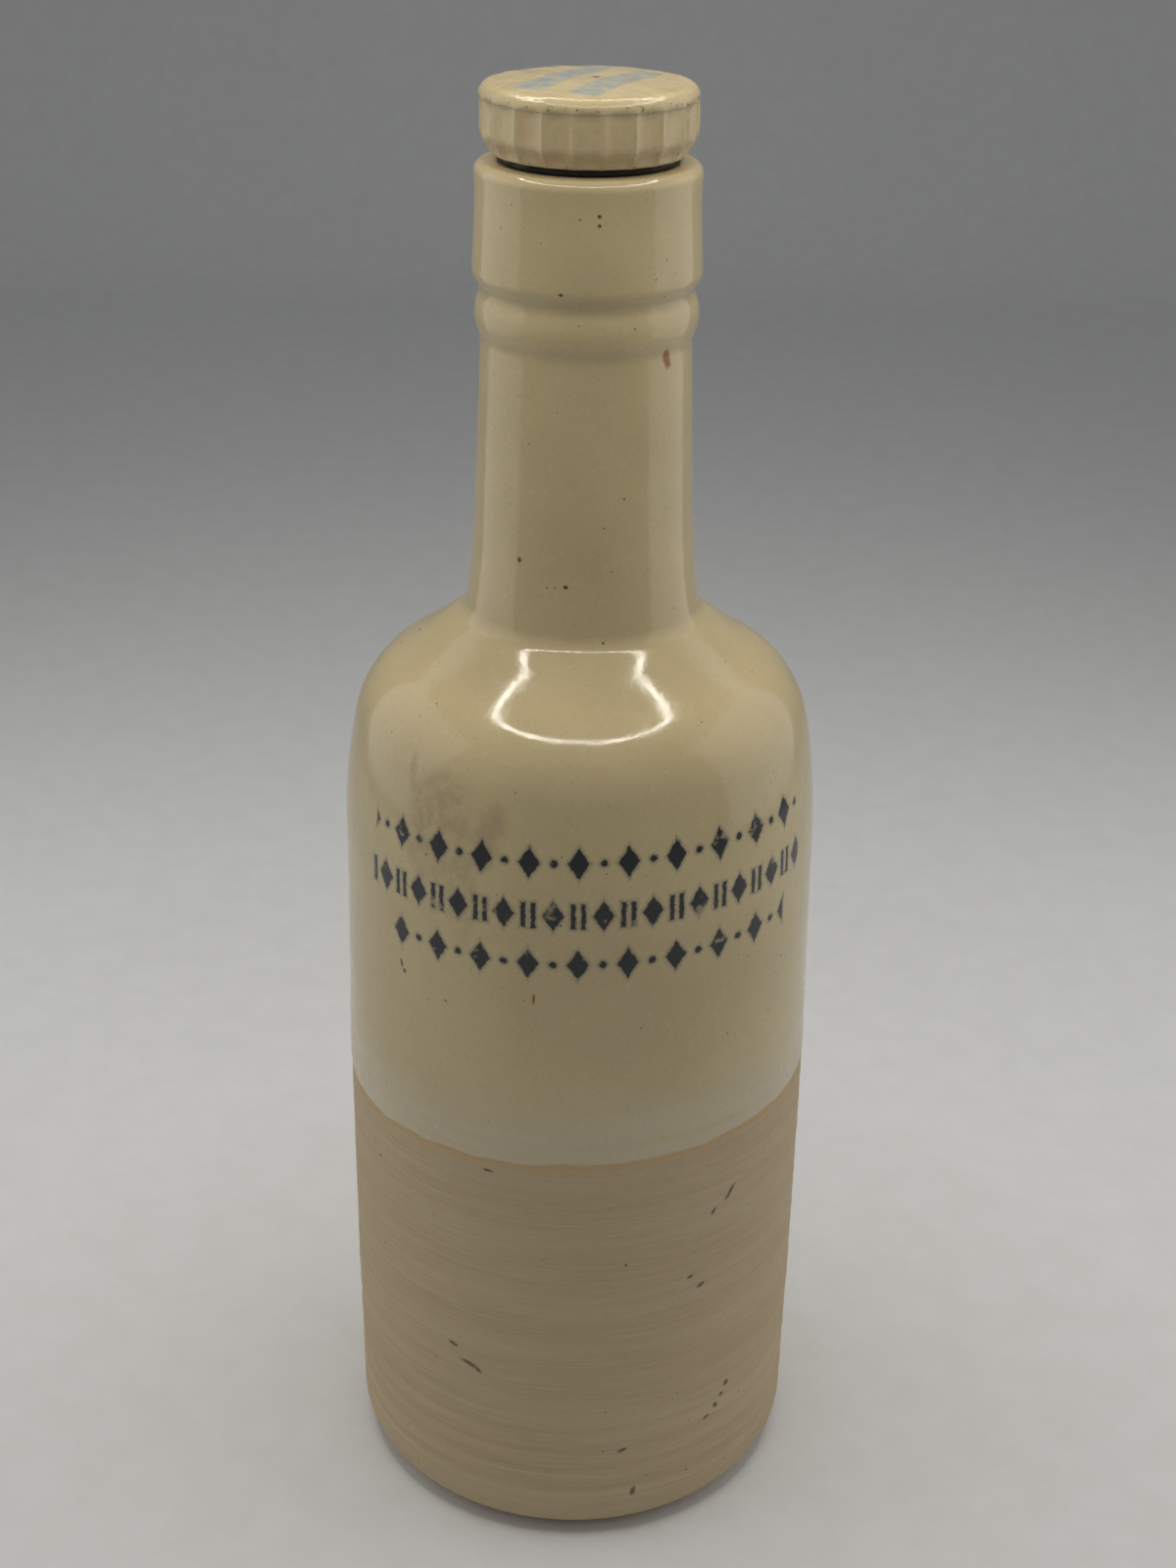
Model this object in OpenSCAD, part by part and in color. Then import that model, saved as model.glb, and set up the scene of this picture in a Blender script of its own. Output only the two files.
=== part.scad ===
// Stoneware bottle with an internal screw stopper and a rubber sealing washer.
// The bottle stands on z = 0 and turns about the Z axis, as it did on the potter's wheel.
// Headings are the lean of an outline from upright towards the axis, in degrees.

/* [Foot and wall] */
// Height of the bottle from its standing ring to its lip
bottle_h = 279.4; // [265:0.1:300]
// Radius of the ring that the bottle stands on
foot_r = 37.8; // [36:0.1:42]
// Radius of the rounding between the standing ring and the wall
foot_round = 9.2; // [7:0.1:11]
// Width of the flat standing ring round the hollowed underside
standing_ring_w = 8; // [4:0.5:14]
// Depth of the shallow hollow in the underside
foot_hollow = 1; // [0.4:0.1:2]
// Height at which the wall begins to lean in
wall_h = 148.3; // [130:0.1:168]
// How much wider the middle of the wall is than its ends
wall_swell = 0.6; // [0.2:0.1:1.5]
// Thickness of the wall
wall_t = 6.5; // [4:0.1:8]
// Thickness of the bottom under the hollow inside
bottom_t = 10; // [6:0.1:14]
// Radius of the inside corner between bottom and wall
inside_corner = 12; // [4:0.5:20]

/* [Throwing rings] */
// Number of grooves that the potter's fingers left above the foot
ring_count = 6; // [1:1:8]
// Height from one groove to the next
ring_pitch = 5; // [4:0.1:6]
// Height of the lowest groove
ring_first = 13.4; // [13.2:0.1:16]
// Depth of the grooves where the rings begin
ring_depth = 0.5; // [0.1:0.05:0.8]
// Share of that depth that is lost where the rings end
ring_fade = 0.7; // [0:0.05:0.9]

/* [Shoulder] */
// Radius of the slow bend where the wall begins to lean in
lean_bend = 120; // [90:1:150]
// Heading at the end of the slow bend
lean_angle = 11.5; // [8:0.5:14]
// Radius of the tight bend over the shoulder
shoulder_bend = 18.9; // [16:0.1:20.5]
// Heading of the slope past the tight bend, which is the flattest place of the shoulder
shoulder_angle = 57.4; // [55:0.1:59.5]
// Radius of the shallow hollow that a fingertip left round the slope
dip_bend = 55; // [30:1:75]
// Heading in the hollow, where it turns into the low ridge round the neck's root
dip_angle = 50; // [48.5:0.1:53.5]
// Radius of the low ridge
root_ridge_bend = 60; // [30:1:90]
// Heading at the top of the low ridge
root_ridge_angle = 54.4; // [53.8:0.1:57]

/* [Neck] */
// Radius of the neck where it leaves the shoulder
neck_r = 22.3; // [21:0.1:24.5]
// Radius of the hollow corner between shoulder and neck
neck_fillet = 4.6; // [3:0.1:8]
// Heading at the foot of the neck
neck_foot_angle = 8; // [6:0.5:10]
// Radius of the long hollow bend up the neck
neck_bend = 140; // [110:1:180]
// Heading of the upper neck
neck_angle = 2.5; // [1:0.1:4]

/* [Bead, groove and collar] */
// Radius of the small hollow under the bead
bead_fillet = 4.6; // [3:0.1:7]
// Radius of the bead's rounding
bead_round = 8.4; // [6:0.1:10]
// Heading where the bead swells out, below its crest
bead_out = -23.5; // [-28:0.5:-18]
// Heading where the bead falls back into the groove
bead_in = 22; // [16:0.5:28]
// Radius of the groove between bead and collar
groove_round = 3.1; // [2:0.1:4]
// Heading where the groove runs out to the collar
groove_out = -38; // [-44:0.5:-32]
// Radius of the rounding under the collar
collar_round = 3.1; // [2:0.1:4]
// Length of the collar up to its slightly waisted middle
collar_lower = 9.4; // [6:0.1:14]
// Radius of the collar's waist, seen from the side
collar_waist = 58; // [40:1:80]
// Length of the collar from its waist to the lip's rounding
collar_upper = 2.6; // [1:0.1:6]
// Radius of the rounding at the lip
lip_round = 1.9; // [1:0.1:2.6]

/* [Mouth and washer] */
// Radial room between the stopper's shank and the mouth, where the screw threads lie
thread_room = 2.15; // [1.5:0.05:3]
// Chamfer at the mouth
mouth_chamfer = 0.6; // [0.2:0.1:1]
// Radius of the hollow bend where the inside narrows into the neck
inside_fillet = 14; // [8:0.5:20]
// Thickness of the washer
washer_t = 1.4; // [1:0.1:3]
// Outer radius of the washer
washer_r = 16.4; // [15:0.1:17.4]
// Clearance between the washer's hole and the shank
washer_gap = 0.3; // [0.2:0.05:0.6]

/* [Stopper] */
// Radius of the stopper's shank at the root of its thread
shank_r = 10.6; // [9:0.1:11.5]
// Length of the shank below the head
shank_len = 28; // [20:0.5:30]
// Chamfer at the shank's lower end
shank_chamfer = 1.5; // [0.5:0.1:3]
// Radius of the head over the rim of its crown
head_r = 19.8; // [19:0.1:22]
// How far the rim stands out over the ridges between the flutes
rim_overhang = 0.15; // [0.1:0.05:0.4]
// Radius of the head's underside
head_foot_r = 18; // [17.5:0.1:18.8]
// Height of the leaning lower part of the head
head_lower = 3.6; // [2.5:0.1:5]
// Height of the upright part of the head
head_side = 6.2; // [4:0.1:9]
// Radius of the crown's rounded rim
crown_round = 2.4; // [1.5:0.1:3.5]
// Rise of the crown's dome inside its rim
crown_rise = 0.9; // [0.4:0.1:2]
// Number of finger flutes round the head
flute_count = 22; // [16:1:28]
// Depth of a flute
flute_depth = 0.6; // [0.3:0.05:0.7]
// Width of the ridge between two flutes
ridge_w = 0.6; // [0.3:0.1:1.2]

/* [Hidden] */
$fn = 96;
wall_r = foot_r + foot_round;
bore_r = shank_r + thread_room;
// Points of the outline in one throwing ring
ring_steps = 8;
// How far a cut runs past the face that it opens
over_cut = 0.01;

// The last point of a path
function end(path) = path[len(path) - 1];

// Points of a bend that leaves point p, which is [radius, height, heading], and ends at heading to.
// A positive radius bulges away from the axis and a negative one is hollow.
function bend(p, radius, to, steps = 8) = [
    for (i = [1 : steps]) let (t = p[2] + (to - p[2]) * i / steps)
        [p[0] + radius * (cos(t) - cos(p[2])), p[1] + radius * (sin(t) - sin(p[2])), t]
];

// A straight run of a given length along the heading of point p
function run(p, length) = [[p[0] - length * sin(p[2]), p[1] + length * cos(p[2]), p[2]]];

// A straight run along the heading of point p in to a given radius
function run_in(p, radius) = run(p, (p[0] - radius) / sin(p[2]));

// A straight run along the heading of point p up to a given height
function run_up(p, height) = run(p, (height - p[1]) / cos(p[2]));

// Depth of the throwing rings at height z, with one rounded groove in each pitch, fading upwards
function ring_cut(z) = ring_depth * (1 - ring_fade * (z - rings_low) / (rings_high - rings_low))
    * pow(0.5 + 0.5 * cos(360 * (z - ring_first) / ring_pitch), 2);

// Radius of the swelling wall, without its rings
function wall_at(z) = wall_r + wall_swell * (1 - pow(2 * (z - foot_round) / (wall_h - foot_round) - 1, 2));

// Heights at which the wall's outline has a point
rings_low = ring_first - ring_pitch / 2;
rings_high = rings_low + ring_count * ring_pitch;
ring_heights = [for (i = [0 : ring_count * ring_steps]) rings_low + i * ring_pitch / ring_steps];
plain_heights = [for (i = [1 : 8]) rings_high + (wall_h - rings_high) * i / 8];

// The outline from the standing ring up to the foot of the neck
foot_path = bend([foot_r, 0, -90], foot_round, 0);
wall_path = concat([for (z = ring_heights) [wall_at(z) - ring_cut(z), z, 0]],
    [for (z = plain_heights) [wall_at(z), z, 0]]);
lean_path = bend(end(wall_path), lean_bend, lean_angle, 5);
over_path = bend(end(lean_path), shoulder_bend, shoulder_angle, 10);

// The outline from the end of the shoulder's slope at point p, over dip and ridge, to the neck
function root_path(p) = let (
    dip = bend(p, -dip_bend, dip_angle, 5),
    ridge = bend(end(dip), root_ridge_bend, root_ridge_angle, 4),
    corner = bend(end(ridge), -neck_fillet, neck_foot_angle, 8)
) concat(dip, ridge, corner);
root_w = -end(root_path([0, 0, shoulder_angle]))[0];
slope_path = run_in(end(over_path), neck_r + root_w);
neck_root = root_path(end(slope_path));
neck_path = bend(end(neck_root), -neck_bend, neck_angle, 5);

// The outline from the top of the neck at point p, over bead, groove and collar, to the lip
function finish_path(p) = let (
    bead_foot = bend(p, -bead_fillet, bead_out, 5),
    bead = bend(end(bead_foot), bead_round, bead_in, 8),
    groove = bend(end(bead), -groove_round, groove_out, 8),
    collar_foot = bend(end(groove), collar_round, neck_angle, 6),
    collar = run(end(collar_foot), collar_lower),
    waist = bend(end(collar), -collar_waist, -neck_angle, 5),
    collar_top = run(end(waist), collar_upper),
    lip = bend(end(collar_top), lip_round, 90, 7)
) concat(bead_foot, bead, groove, collar_foot, collar, waist, collar_top, lip);
finish_h = end(finish_path([0, 0, neck_angle]))[1];
neck_top = run_up(end(neck_path), bottle_h - finish_h);
outer_path = concat(foot_path, wall_path, lean_path, over_path, slope_path, neck_root, neck_path,
    neck_top, finish_path(end(neck_top)));

// The outline of the space inside, from the bottom up to the mouth
inside_wall_r = wall_r - wall_t;
corner_path = bend([inside_wall_r - inside_corner, bottom_t, -90], inside_corner, 0);
inside_wall = [[wall_at(wall_h / 2) - wall_t, wall_h / 2, 0], [inside_wall_r, wall_h, 0]];
inside_lean = bend(end(inside_wall), lean_bend - wall_t, lean_angle, 5);
inside_over = bend(end(inside_lean), shoulder_bend - wall_t, shoulder_angle, 10);
inside_slope = run_in(end(inside_over), bore_r + inside_fillet * (1 - cos(shoulder_angle)));
inside_neck = bend(end(inside_slope), -inside_fillet, 0, 8);
mouth_path = [[bore_r, bottle_h - mouth_chamfer, 0], [bore_r + mouth_chamfer, bottle_h, 0]];
inside_path = concat([[0, bottom_t, 0]], corner_path, inside_wall, inside_lean, inside_over,
    inside_slope, inside_neck, mouth_path);

// The hollow underside, an arc inside the standing ring
hollow_r = foot_r - standing_ring_w;
hollow_arc = (pow(hollow_r, 2) + pow(foot_hollow, 2)) / (2 * foot_hollow);
underside_path = [for (i = [0 : 6]) let (r = hollow_r * i / 6)
    [r, foot_hollow - hollow_arc + sqrt(pow(hollow_arc, 2) - r * r)]];

// Heights of the stopper above its underside, and the arc of its dome
rim_h = head_lower + head_side;
crown_h = crown_round + crown_rise;
crown_r = head_r - crown_round;
core_h = rim_h + crown_round / 2;
crown_arc = (pow(crown_r, 2) + pow(crown_rise, 2)) / (2 * crown_rise);

// The fluted outline of the head: shallow hollows between narrow ridges
flute_steps = 6;
crown_steps = 6;
ridge_r = head_r - rim_overhang;
ridge_angle = 2 * asin(ridge_w / 2 / ridge_r);
flute_angle = 360 / flute_count - ridge_angle;
fluted_outline = [for (k = [0 : flute_count - 1], i = [0 : flute_steps])
    let (u = i / flute_steps, r = ridge_r - flute_depth * (1 - pow(2 * u - 1, 2)),
        t = 360 * k / flute_count + ridge_angle / 2 + flute_angle * u)
        [r * cos(t), r * sin(t)]];

// Drops the heading from the points of a path
function flat(path) = [for (p = path) [p[0], p[1]]];

// A path read from its end to its start
function back(path) = [for (i = [len(path) - 1 : -1 : 0]) path[i]];

// The bottle, thrown in one piece: foot, ringed wall, shoulder, neck, bead and collar
module bottle() {
    color("tan") rotate_extrude()
        polygon(concat(underside_path, [[foot_r, 0]], flat(outer_path), back(flat(inside_path))));
}

// The rubber washer on the lip, round the stopper's shank
module sealing_washer() {
    color("black") translate([0, 0, bottle_h]) difference() {
        cylinder(r = washer_r, h = washer_t);
        translate([0, 0, -over_cut]) cylinder(r = shank_r + washer_gap, h = washer_t + 2 * over_cut);
    }
}

// The shank, with a core that runs up through the head into the crown
module shank() {
    rotate_extrude() polygon([[0, -shank_len], [shank_r - shank_chamfer, -shank_len],
        [shank_r, -shank_len + shank_chamfer], [shank_r, core_h], [0, core_h]]);
}

// The fluted head: a leaning lower part and an upright part
module fluted_head() {
    translate([0, 0, head_lower]) mirror([0, 0, 1])
        linear_extrude(height = head_lower, scale = head_foot_r / ridge_r) polygon(fluted_outline);
    translate([0, 0, head_lower]) linear_extrude(height = head_side) polygon(fluted_outline);
}

// The crown: a rounded rim and a low dome
module crown() {
    rim = [for (i = [0 : crown_steps]) let (t = 90 * i / crown_steps)
        [crown_r + crown_round * cos(t), crown_round * sin(t)]];
    dome = [for (i = [crown_steps - 1 : -1 : 0]) let (r = crown_r * i / crown_steps)
        [r, crown_h - crown_arc + sqrt(pow(crown_arc, 2) - r * r)]];
    rotate_extrude() polygon(concat([[0, 0]], rim, dome));
}

// The stoneware screw stopper, seated on the washer
module stopper() {
    color("wheat") translate([0, 0, bottle_h + washer_t]) {
        shank();
        fluted_head();
        translate([0, 0, rim_h]) crown();
    }
}

bottle();
sealing_washer();
stopper();
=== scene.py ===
"""Looks of a stoneware bottle with a fluted screw stopper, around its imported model.

Sizes are in millimetres where a value is named, and in metres once MM has scaled them.
An azimuth is in degrees from the front of the bottle (-Y), and grows towards its right (+X).
"""
import math

import bpy
from mathutils import Matrix, Vector


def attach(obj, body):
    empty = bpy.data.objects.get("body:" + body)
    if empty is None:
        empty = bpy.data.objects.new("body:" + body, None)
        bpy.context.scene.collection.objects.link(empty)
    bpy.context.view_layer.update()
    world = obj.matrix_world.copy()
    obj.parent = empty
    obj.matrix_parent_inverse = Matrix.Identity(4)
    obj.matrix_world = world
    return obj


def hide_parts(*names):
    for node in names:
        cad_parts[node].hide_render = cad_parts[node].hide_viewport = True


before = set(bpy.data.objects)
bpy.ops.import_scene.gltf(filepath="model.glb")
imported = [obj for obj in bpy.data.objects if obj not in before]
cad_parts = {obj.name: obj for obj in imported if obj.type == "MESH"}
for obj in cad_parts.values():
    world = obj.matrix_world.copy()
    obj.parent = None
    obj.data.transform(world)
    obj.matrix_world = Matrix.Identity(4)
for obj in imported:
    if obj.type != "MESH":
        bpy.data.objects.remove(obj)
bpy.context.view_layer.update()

MM = 0.001
FULL_TURN = 2 * math.pi

# Bottle: foot and wall
BOTTLE_H = 279.4
FOOT_R = 37.8
FOOT_ROUND = 9.2
STANDING_RING_W = 8
FOOT_HOLLOW = 1
WALL_H = 148.3
WALL_R = FOOT_R + FOOT_ROUND
WALL_SWELL = 0.6
WALL_T = 6.5
BOTTOM_T = 10
INSIDE_CORNER = 12
INSIDE_FILLET = 14

# Bottle: throwing rings above the foot, and the wall's spacing of points
RING_COUNT = 6
RING_PITCH = 5
RING_FIRST = 13.4
RING_DEPTH = 0.5
RING_FADE = 0.7
WALL_STEP = 0.62
PLAIN_FROM = 128
PLAIN_STEP = 2.2

# Bottle: shoulder and neck
LEAN_BEND, LEAN_ANGLE = 120, 11.5
SHOULDER_BEND, SHOULDER_ANGLE = 18.9, 57.4
DIP_BEND, DIP_ANGLE = 55, 50
ROOT_RIDGE_BEND, ROOT_RIDGE_ANGLE = 60, 54.4
NECK_R, NECK_FILLET, NECK_FOOT_ANGLE = 22.3, 4.6, 8
NECK_BEND, NECK_ANGLE = 140, 2.5

# Bottle: bead, groove, collar and mouth
BEAD_FILLET, BEAD_OUT = 4.6, -23.5
BEAD_ROUND, BEAD_IN = 8.4, 22
GROOVE_ROUND, GROOVE_OUT = 3.1, -38
COLLAR_ROUND, COLLAR_LOWER = 3.1, 9.4
COLLAR_WAIST, COLLAR_UPPER = 58, 2.6
LIP_ROUND = 1.9
BORE_R = 12.75
MOUTH_CHAMFER = 0.6

# Stopper, washer and screw
WASHER_R, WASHER_HOLE_R, WASHER_T = 16.4, 10.9, 1.4
SEAT_Z = BOTTLE_H + WASHER_T
SHANK_R, SHANK_LEN, SHANK_CHAMFER = 10.6, 28, 1.5
HEAD_R, HEAD_FOOT_R = 19.8, 18
HEAD_LOWER, HEAD_SIDE = 3.6, 6.2
RIM_OVERHANG = 0.15
CROWN_ROUND, CROWN_RISE = 2.4, 0.9
FLUTE_COUNT, FLUTE_DEPTH = 22, 0.62
FLUTE_STEPS = 14
SCREW_PITCH = 5
BORE_RIDGE_R = 11.25
SHANK_RIDGE_R = 12.05

LATHE_STEPS = 208


# Outlines: a point is (radius, height, heading), and a heading leans from upright towards the axis

def end(path):
    """Last point of a path."""
    return path[-1]


def bend(point, radius, to, steps=8):
    """Points of a bend from a point to a heading; a positive radius bulges away from the axis."""
    start = math.radians(point[2])
    points = []
    for i in range(1, steps + 1):
        turn = start + (math.radians(to) - start) * i / steps
        across = radius * (math.cos(turn) - math.cos(start))
        rise = radius * (math.sin(turn) - math.sin(start))
        points.append((point[0] + across, point[1] + rise, math.degrees(turn)))
    return points


def run(point, length, steps=1):
    """Points of a straight run along the point's heading."""
    lean = math.radians(point[2])
    points = []
    for i in range(1, steps + 1):
        part = length * i / steps
        points.append((point[0] - part * math.sin(lean), point[1] + part * math.cos(lean), point[2]))
    return points


def run_up(point, height, steps):
    """A straight run along the point's heading up to a height."""
    return run(point, (height - point[1]) / math.cos(math.radians(point[2])), steps)


def run_in(point, radius, steps):
    """A straight run along the point's heading in to a radius."""
    return run(point, (point[0] - radius) / math.sin(math.radians(point[2])), steps)


def chain(point, *pieces):
    """A path of several bends and runs, each given as a function and its settings."""
    path = [point]
    for piece, *settings in pieces:
        path += piece(end(path), *settings)
    return path[1:]


def wall_radius(z):
    """Radius of the gently swelling wall."""
    share = 2 * (z - FOOT_ROUND) / (WALL_H - FOOT_ROUND) - 1
    return WALL_R + WALL_SWELL * (1 - share ** 2)


def ring_cut(z):
    """Depth of the throwing rings at a height."""
    low = RING_FIRST - RING_PITCH / 2
    high = low + RING_COUNT * RING_PITCH
    if not low <= z <= high:
        return 0
    fade = 1 - RING_FADE * (z - low) / (high - low)
    return RING_DEPTH * fade * (0.5 + 0.5 * math.cos(FULL_TURN * (z - RING_FIRST) / RING_PITCH)) ** 2


def wall_path():
    """The wall, with points close enough for its rings and the fine marks above them."""
    fine = [FOOT_ROUND + WALL_STEP * i for i in range(1, int((PLAIN_FROM - FOOT_ROUND) / WALL_STEP) + 1)]
    plain_count = round((WALL_H - end(fine)) / PLAIN_STEP)
    plain = [end(fine) + (WALL_H - end(fine)) * i / plain_count for i in range(1, plain_count + 1)]
    return [(wall_radius(z) - ring_cut(z), z, 0) for z in fine + plain]


def root_path(point):
    """From the end of the shoulder's slope, over dip and ridge, into the corner of the neck."""
    return chain(point, (bend, -DIP_BEND, DIP_ANGLE, 7), (bend, ROOT_RIDGE_BEND, ROOT_RIDGE_ANGLE, 6),
                 (bend, -NECK_FILLET, NECK_FOOT_ANGLE, 10))


def finish_path(point):
    """From the top of the neck, over bead, groove and collar, to the lip."""
    return chain(point, (bend, -BEAD_FILLET, BEAD_OUT, 8), (bend, BEAD_ROUND, BEAD_IN, 14),
                 (bend, -GROOVE_ROUND, GROOVE_OUT, 10), (bend, COLLAR_ROUND, NECK_ANGLE, 10),
                 (run, COLLAR_LOWER, 8), (bend, -COLLAR_WAIST, -NECK_ANGLE, 6), (run, COLLAR_UPPER, 3),
                 (bend, LIP_ROUND, 90, 10))


def dome(radius, rise, steps):
    """An arc from a radius in to the axis, which it meets one rise higher."""
    arc = (radius ** 2 + rise ** 2) / (2 * rise)
    radii = [radius * (1 - i / steps) for i in range(steps + 1)]
    return [(r, rise - arc + math.sqrt(arc ** 2 - r ** 2)) for r in radii]


def bottle_outline():
    """The bottle's whole outline, from the middle of its underside round to the bottom inside."""
    underside = [(r, z) for r, z in reversed(dome(FOOT_R - STANDING_RING_W, FOOT_HOLLOW, 8))]
    foot = bend((FOOT_R, 0, -90), FOOT_ROUND, 0, 16)
    wall = wall_path()
    over = chain(end(wall), (bend, LEAN_BEND, LEAN_ANGLE, 12), (bend, SHOULDER_BEND, SHOULDER_ANGLE, 20))
    root_w = -end(root_path((0, 0, SHOULDER_ANGLE)))[0]
    slope = run_in(end(over), NECK_R + root_w, 3)
    root = root_path(end(slope))
    neck = bend(end(root), -NECK_BEND, NECK_ANGLE, 8)
    finish_h = end(finish_path((0, 0, NECK_ANGLE)))[1]
    neck_top = run_up(end(neck), BOTTLE_H - finish_h, 20)
    finish = finish_path(end(neck_top))
    inside_r = WALL_R - WALL_T
    inside = [(0, BOTTOM_T), (inside_r - INSIDE_CORNER, BOTTOM_T, -90)]
    inside += bend(end(inside), INSIDE_CORNER, 0, 8)
    inside += [(wall_radius(WALL_H / 2) - WALL_T, WALL_H / 2, 0), (inside_r, WALL_H, 0)]
    narrow = BORE_R + INSIDE_FILLET * (1 - math.cos(math.radians(SHOULDER_ANGLE)))
    inside += chain(end(inside), (bend, LEAN_BEND - WALL_T, LEAN_ANGLE, 5),
                    (bend, SHOULDER_BEND - WALL_T, SHOULDER_ANGLE, 8), (run_in, narrow, 2),
                    (bend, -INSIDE_FILLET, 0, 8))
    inside += run_up(end(inside), BOTTLE_H - MOUTH_CHAMFER, 10)
    inside += [(BORE_R + MOUTH_CHAMFER, BOTTLE_H, 0)]
    outside = underside + [(FOOT_R, 0)] + foot + wall + over + slope + root + neck + neck_top + finish
    return [p[:2] for p in outside + inside[::-1]]


def stopper_outline():
    """The stopper's outline, from the end of its shank to the middle of its crown, seated in the mouth."""
    ridge_r = HEAD_R - RIM_OVERHANG
    rim_z = HEAD_LOWER + HEAD_SIDE
    shank = [(0, -SHANK_LEN), (SHANK_R - SHANK_CHAMFER, -SHANK_LEN), (SHANK_R, SHANK_CHAMFER - SHANK_LEN),
             (SHANK_R, -SHANK_LEN / 2), (SHANK_R, -1.2), (SHANK_R + 0.5, -0.2), (SHANK_R + 1.2, 0)]
    foot_corner = 0.7
    foot = [(HEAD_FOOT_R - foot_corner, 0, -90)]
    foot += bend(end(foot), foot_corner, -27, 5)
    foot += [(ridge_r - 0.1, HEAD_LOWER - 0.6, -20), (ridge_r, HEAD_LOWER + 0.3, 0)]
    foot = foot[:6] + rows_between(foot[5], foot[6], 6) + foot[6:]
    side = [(ridge_r, HEAD_LOWER + 0.3 + (rim_z - HEAD_LOWER - 0.5) * i / 14, 0) for i in range(1, 15)]
    rim = bend((HEAD_R, rim_z, 0), CROWN_ROUND, 90, 12)
    crown = [(r, rim_z + CROWN_ROUND + z) for r, z in dome(HEAD_R - CROWN_ROUND, CROWN_RISE, 8)[1:]]
    points = shank + foot + side + [(HEAD_R, rim_z, 0)] + rim + crown
    return [(p[0], p[1] + SEAT_Z) for p in points]


def rows_between(low, high, count):
    """Points spaced evenly between two points of an outline, without its ends."""
    shares = [i / (count + 1) for i in range(1, count + 1)]
    return [tuple(a + (b - a) * s for a, b in zip(low, high)) for s in shares]


# Modelling: each function works on one piece

def select_only(piece):
    """Makes one piece the selected and active one, in object mode."""
    bpy.ops.object.select_all(action="DESELECT")
    piece.select_set(True)
    bpy.context.view_layer.objects.active = piece


def draw_outline(name, points):
    """A line through points of (radius, height), drawn out of one corner in the XZ plane."""
    bpy.ops.object.select_all(action="DESELECT")
    bpy.ops.mesh.primitive_plane_add(size=MM, location=(0, 0, 0))
    piece = bpy.context.object
    piece.name = piece.data.name = name
    places = [Vector((x * MM, 0, z * MM)) for x, z in points]
    bpy.ops.object.mode_set(mode="EDIT")
    bpy.ops.mesh.select_all(action="SELECT")
    bpy.ops.mesh.merge(type="CENTER")
    bpy.ops.transform.translate(value=places[0])
    for before, after in zip(places, places[1:]):
        bpy.ops.mesh.extrude_vertices_move(TRANSFORM_OT_translate={"value": after - before})
    bpy.ops.object.mode_set(mode="OBJECT")
    return piece


def turn_outline(piece, steps, angle=FULL_TURN):
    """Spins the outline about the bottle's axis, and closes its seam and poles."""
    select_only(piece)
    bpy.ops.object.mode_set(mode="EDIT")
    bpy.ops.mesh.select_all(action="SELECT")
    bpy.ops.mesh.spin(steps=steps, angle=angle, center=(0, 0, 0), axis=(0, 0, 1))
    close_up()
    bpy.ops.object.mode_set(mode="OBJECT")


def close_up():
    """In edit mode, merges doubles and points all faces outwards."""
    bpy.ops.mesh.select_all(action="SELECT")
    bpy.ops.mesh.remove_doubles(threshold=0.004 * MM)
    bpy.ops.mesh.normals_make_consistent(inside=False)
    bpy.ops.mesh.select_all(action="DESELECT")


def weigh(piece, name, share):
    """A vertex group whose weight at each corner is a share worked out from its place in millimetres."""
    group = piece.vertex_groups.new(name=name)
    for corner in piece.data.vertices:
        weight = share(*(corner.co / MM))
        if weight > 0:
            group.add([corner.index], weight, "REPLACE")
    return name


def apply_modifier(piece, modifier):
    """Applies one modifier of a piece."""
    select_only(piece)
    bpy.ops.object.modifier_apply(modifier=modifier.name)


def push(piece, depth, group, texture=None, spacing=None, middle=0.0):
    """Moves a piece's surface along its normals by a depth, by a weight and, if given, by a texture."""
    modifier = piece.modifiers.new("push", "DISPLACE")
    modifier.strength = depth * MM
    modifier.mid_level = middle
    modifier.vertex_group = group
    holder = None
    if texture:
        holder = bpy.data.objects.new("texture_holder", None)
        bpy.context.scene.collection.objects.link(holder)
        holder.scale = [s * MM for s in spacing]
        bpy.context.view_layer.update()
        modifier.texture = texture
        modifier.texture_coords = "OBJECT"
        modifier.texture_coords_object = holder
    apply_modifier(piece, modifier)
    if holder:
        bpy.data.objects.remove(holder)


def cloud_texture(name, depth=2):
    """Soft irregular noise with features about one unit across."""
    texture = bpy.data.textures.new(name, "CLOUDS")
    texture.noise_scale = 1
    texture.noise_depth = depth
    return texture


def smooth_step(value, low, high):
    """0 below low, 1 above high, and a smooth rise between them."""
    share = min(max((value - low) / (high - low), 0), 1)
    return share * share * (3 - 2 * share)


def smooth_shade(piece, angle=40):
    """Smooth shading that keeps corners sharper than an angle."""
    select_only(piece)
    bpy.ops.object.shade_smooth_by_angle(angle=math.radians(angle))


# Less than half of the thinnest wall, to tell the outer face from the inner one
HALF_WALL = 2.5
# The glaze ends on a slightly tilted, wavering line round the wall
GLAZE_LINE_Z = 95.6
GLAZE_LINE_TILT = 0.04


def glaze_line(x):
    """Height of the glaze's lower edge."""
    return GLAZE_LINE_Z + GLAZE_LINE_TILT * x


def on_outside(x, y, z):
    """1 on the bottle's outer face between foot and lip, 0 on its inner face and where it seats."""
    if math.hypot(x, y) < inside_radius(z) + HALF_WALL:
        return 0
    return smooth_step(z, 3, 14) * (1 - smooth_step(z, BOTTLE_H - 9, BOTTLE_H - 3))


def inside_radius(z):
    """About the radius of the bottle's inner face at a height."""
    if z < WALL_H:
        return WALL_R - WALL_T
    if z > 200:
        return BORE_R
    return BORE_R + (WALL_R - WALL_T - BORE_R) * (1 - smooth_step(z, WALL_H + 14, 196))


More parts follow.
